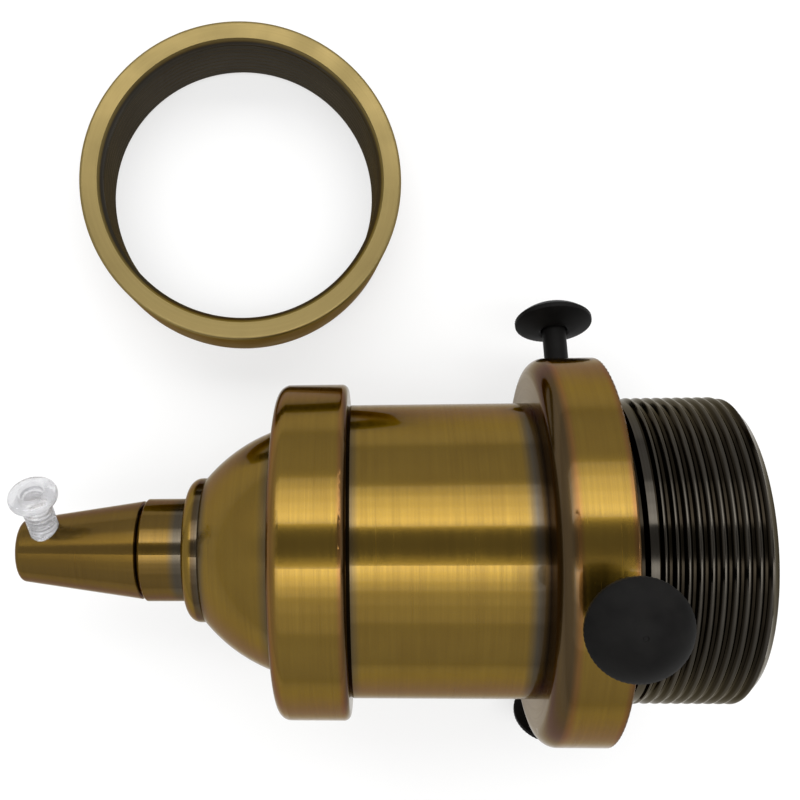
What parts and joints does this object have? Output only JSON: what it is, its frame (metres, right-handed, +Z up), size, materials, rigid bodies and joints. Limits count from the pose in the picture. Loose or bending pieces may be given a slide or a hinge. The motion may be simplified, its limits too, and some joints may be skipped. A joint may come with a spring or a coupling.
{
  "type": "lamp holder",
  "caption": "Turned brass pendant lamp holder for a screw-base bulb, with a cord grip, a gallery ring with thumbscrews, a threaded mouth and its loose shade ring.",
  "frame": {"origin": "on the floor, under the middle of the box that holds the lying holder and its shade ring", "axes": "+X from the cord end towards the mouth, along the floor; +Y from the holder towards the loose shade ring; +Z up. The holder lies on its two rims and one thumbscrew, so its own axis rises towards the mouth by about 5.3 degrees from +X in the XZ plane"},
  "size_m": [0.0964, 0.1076, 0.0623],
  "materials": {
    "antique_brass": "satin, antiqued",
    "ring_brass": "satin",
    "dark_bronze": "satin, blackened",
    "black_metal": "matte",
    "clear_nylon": "clear",
    "bright_brass": "polished",
    "porcelain": "glossy",
    "fibre": "matte",
    "plated_steel": "bright"
  },
  "bodies": {
    "holder": {"cord_grip": "antique_brass", "neck_collar": "antique_brass", "nipple": "bright_brass", "nipple_locknut": "bright_brass", "cap": "antique_brass", "earth_tag": "bright_brass", "earth_screw": "plated_steel", "barrel": "antique_brass", "gallery_ring": "antique_brass", "threaded_sleeve": "dark_bronze", "insulating_washer": "fibre", "insert_body": "porcelain", "screw_shell": "bright_brass", "live_terminal": "bright_brass", "neutral_terminal": "bright_brass", "terminal_screws": "plated_steel", "terminal_rivets": "bright_brass", "shell_rivets": "bright_brass", "shade_ring": "ring_brass"},
    "grip_screw": {"grip_screw": "clear_nylon"},
    "centre_contact": {"centre_contact": "bright_brass"},
    "thumb_screw_top": {"thumb_screw_top": "black_metal"},
    "thumb_screw_side": {"thumb_screw_side": "black_metal"},
    "thumb_screw_prop": {"thumb_screw_prop": "black_metal"}
  },
  "joints": [
    {"name": "grip_screw_travel", "type": "slide", "parent": "holder", "child": "grip_screw", "axis": [-0.0659, 0.7071, 0.704], "range_m": [-0.0026, 0.001]},
    {"name": "thumb_screw_top_travel", "type": "slide", "parent": "holder", "child": "thumb_screw_top", "axis": [-0.0923, -0.1391, 0.986], "range_m": [-0.0028, 0.0015]},
    {"name": "thumb_screw_side_travel", "type": "slide", "parent": "holder", "child": "thumb_screw_side", "axis": [0.0349, 0.9272, -0.373], "range_m": [-0.0028, 0.0015]},
    {"name": "thumb_screw_prop_travel", "type": "slide", "parent": "holder", "child": "thumb_screw_prop", "axis": [0.0574, -0.7881, -0.6129], "range_m": [-0.0028, 0.0015]},
    {"name": "contact_spring", "type": "hinge", "parent": "holder", "child": "centre_contact", "pos_m": [0.01724, -0.01676, 0.02481], "axis": [0.0932, 0, -0.9957], "range_deg": [0, 8], "stiffness_Nm_per_rad": 0.25}
  ]
}
